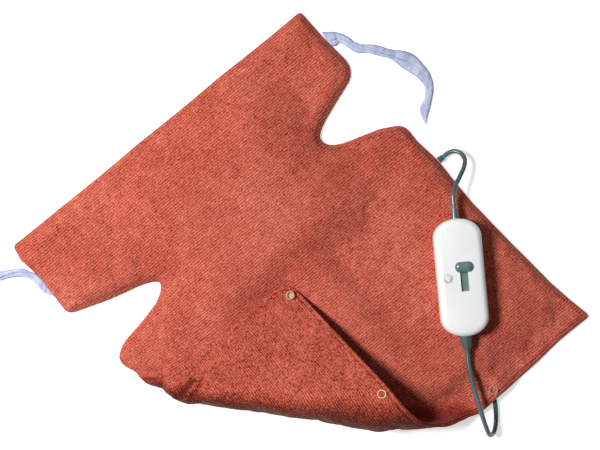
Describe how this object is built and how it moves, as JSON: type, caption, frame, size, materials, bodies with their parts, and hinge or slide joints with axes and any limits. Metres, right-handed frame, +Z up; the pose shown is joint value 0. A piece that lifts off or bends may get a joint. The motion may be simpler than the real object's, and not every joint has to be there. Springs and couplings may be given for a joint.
{
  "type": "heating pad",
  "caption": "Cape-shaped plush heating pad with a collar, tie ribbons, ring snaps and one corner folded over, wired to a hand controller with a slide switch.",
  "frame": {"origin": "middle of the pad's depth, on the surface it lies on", "axes": "+X along the collar towards the lead's side, +Y from the hem to the collar, +Z up"},
  "size_m": [0.588, 0.5738, 0.0742],
  "materials": {
    "plush": "napped plush",
    "felt": "needled felt",
    "wire_sleeve": "matte",
    "inner_parts": "matte",
    "snap_metal": "satin",
    "satin_ribbon": "satin weave",
    "cord_jacket": "matte",
    "cord_fittings": "matte",
    "plug_pin_metal": "polished",
    "housing": "smooth",
    "screw_steel": "plain",
    "slider": "matte",
    "lens": "clear gloss",
    "board": "lacquered",
    "lamp_glass": "clear",
    "resistor_body": "matte"
  },
  "bodies": {
    "pad": {"cover_back": "plush", "cover_front": "plush", "inner_pad_back": "felt", "inner_pad_front": "felt", "heating_wire": "wire_sleeve", "thermal_cutout_1": "inner_parts", "thermal_cutout_2": "inner_parts", "lead_junction": "inner_parts", "switch_block": "inner_parts", "terminal_block_pad": "inner_parts", "terminal_block_mains": "inner_parts", "cord_clamp_pad": "inner_parts", "cord_clamp_mains": "inner_parts", "coil_tie": "inner_parts", "snap_ring_back_1": "snap_metal", "snap_stud_1": "snap_metal", "snap_socket_1": "snap_metal", "snap_ring_front_1": "snap_metal", "snap_ring_back_2": "snap_metal", "snap_stud_2": "snap_metal", "snap_socket_2": "snap_metal", "snap_ring_front_2": "snap_metal", "snap_ring_back_3": "snap_metal", "snap_stud_3": "snap_metal", "snap_socket_3": "snap_metal", "snap_ring_front_3": "snap_metal", "tie_ribbon_right": "satin_ribbon", "tie_ribbon_left": "satin_ribbon", "pad_lead": "cord_jacket", "mains_lead": "cord_jacket", "mains_lead_coil": "cord_jacket", "mains_lead_tail": "cord_jacket", "inner_lead_pad": "cord_jacket", "inner_lead_mains": "cord_jacket", "pad_lead_gland": "cord_fittings", "plug_body": "cord_fittings", "plug_relief": "cord_fittings", "strain_relief_pad": "cord_fittings", "strain_relief_mains": "cord_fittings", "plug_pin_1": "plug_pin_metal", "plug_pin_2": "plug_pin_metal", "controller_top_shell": "housing", "controller_bottom_shell": "housing", "housing_screw_1": "screw_steel", "housing_screw_2": "screw_steel", "housing_screw_3": "screw_steel", "housing_screw_4": "screw_steel", "pilot_lens": "lens", "circuit_board": "board", "pilot_lamp": "lamp_glass", "fuse": "lamp_glass", "series_resistor": "resistor_body"},
    "slider": {"slider_knob": "slider", "slider_plate": "slider"}
  },
  "joints": [
    {"name": "slider_slide", "type": "slide", "parent": "pad", "child": "slider", "axis": [-0.5592, -0.829, 0], "range_m": [0, 0.022]}
  ]
}
